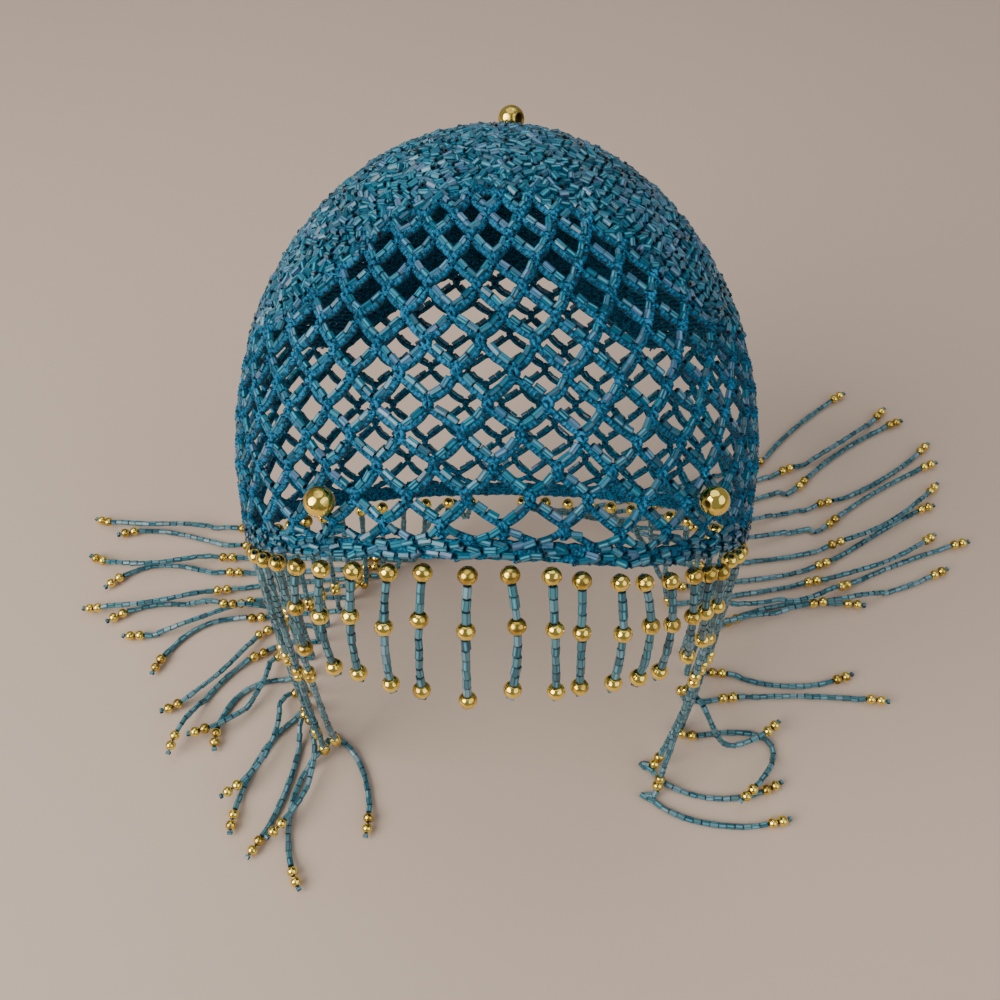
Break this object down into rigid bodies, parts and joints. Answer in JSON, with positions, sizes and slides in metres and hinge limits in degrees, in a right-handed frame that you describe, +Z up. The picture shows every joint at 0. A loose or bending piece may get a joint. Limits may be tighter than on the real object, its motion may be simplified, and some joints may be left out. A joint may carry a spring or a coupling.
{
  "type": "crocheted bead net cap",
  "caption": "Close-fitting net cap crocheted with small glass bugles, with a beaded rim band and a fringe of bead strings.",
  "frame": {"origin": "highest point of the hollow, where the crown of a head meets the inside of the net", "axes": "+Z up, -Y the way the wearer looks, +X to the right seen from the front"},
  "size_m": [0.3879, 0.239, 0.2179],
  "materials": {
    "teal_net": "iridescent glass bugles on cotton thread",
    "teal_string": "iridescent glass bugles",
    "gold_bead": "mirror gold plating"
  },
  "bodies": {
    "root": {"crown_net": "teal_net", "rim_band": "teal_net", "crown_bead": "gold_bead", "temple_bead_left": "gold_bead", "temple_bead_right": "gold_bead", "front_fringe": "teal_string", "fringe_left": "teal_string", "fringe_right": "teal_string"}
  },
  "joints": []
}
